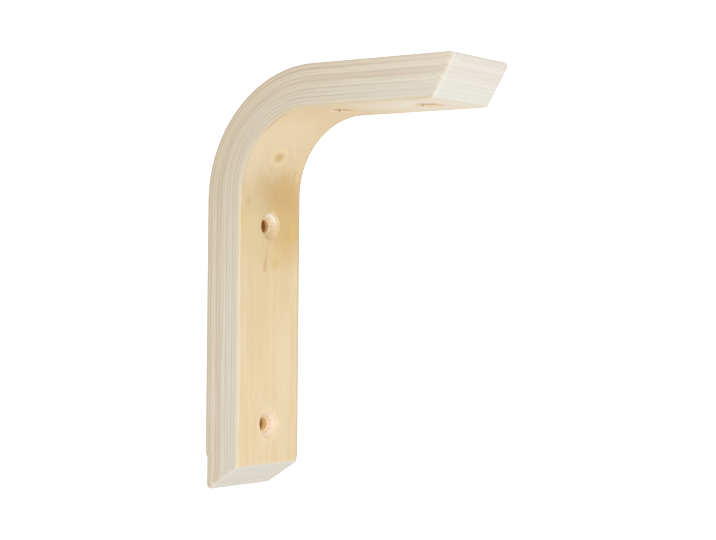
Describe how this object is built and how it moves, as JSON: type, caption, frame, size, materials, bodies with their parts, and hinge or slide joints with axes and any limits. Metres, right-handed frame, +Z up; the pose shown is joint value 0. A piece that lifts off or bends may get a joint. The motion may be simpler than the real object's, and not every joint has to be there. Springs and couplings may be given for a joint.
{
  "type": "laminated wooden shelf bracket",
  "caption": "L-shaped bracket bent from glued veneers, with a leg for the wall, a rounded bend, an arm for the shelf, slanted ends and countersunk screw holes.",
  "frame": {"origin": "on the flat wall face of the leg, in the middle of its width, half-way between the two wall screw holes", "axes": "+Y into the wall, the arm reaches towards -Y, +Z up along the leg, X across the width"},
  "size_m": [0.046, 0.1385, 0.1984],
  "materials": {
    "laminated_birch": "bare sanded birch veneer, satin to matt, with the glued layers showing on the sides and ends"
  },
  "bodies": {
    "root": {"laminated_bracket": "laminated_birch"}
  },
  "joints": []
}
